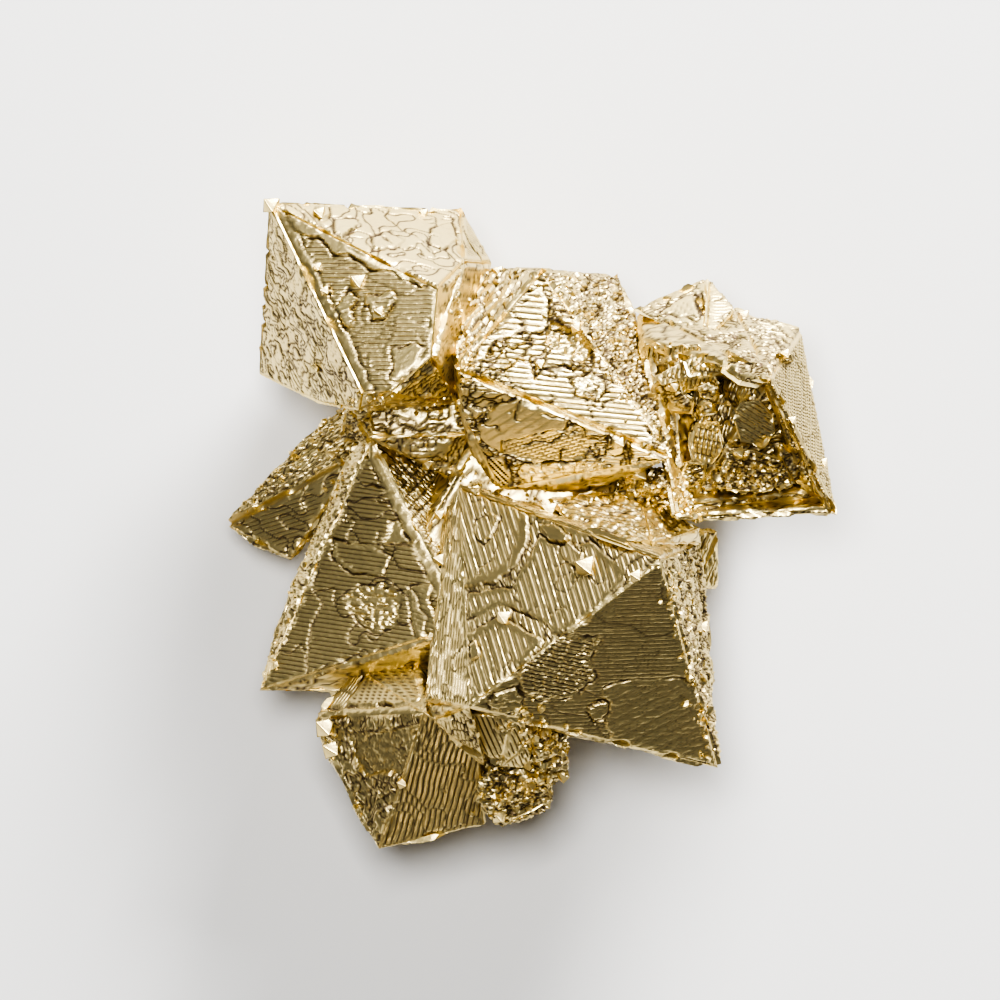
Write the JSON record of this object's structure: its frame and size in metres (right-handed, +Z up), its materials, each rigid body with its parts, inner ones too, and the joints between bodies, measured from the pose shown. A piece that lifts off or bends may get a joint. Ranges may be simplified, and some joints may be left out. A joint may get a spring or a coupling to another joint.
{
  "type": "gold crystal cluster",
  "caption": "Pale gold cluster of intergrown octahedral crystals with striped and stepped faces, lying on its back.",
  "frame": {"origin": "on the surface it lies on, under the middle of its bounding box", "axes": "+Z up, out of the finest side; +X to the right and +Y to the top as that side is looked at from above"},
  "size_m": [0.0408, 0.0438, 0.0259],
  "materials": {
    "native_gold": "pale native gold, bright metal with fine growth stripes, worm-shaped grooves and rough crystalline patches"
  },
  "bodies": {
    "root": {"gold_crystal": "native_gold"}
  },
  "joints": []
}
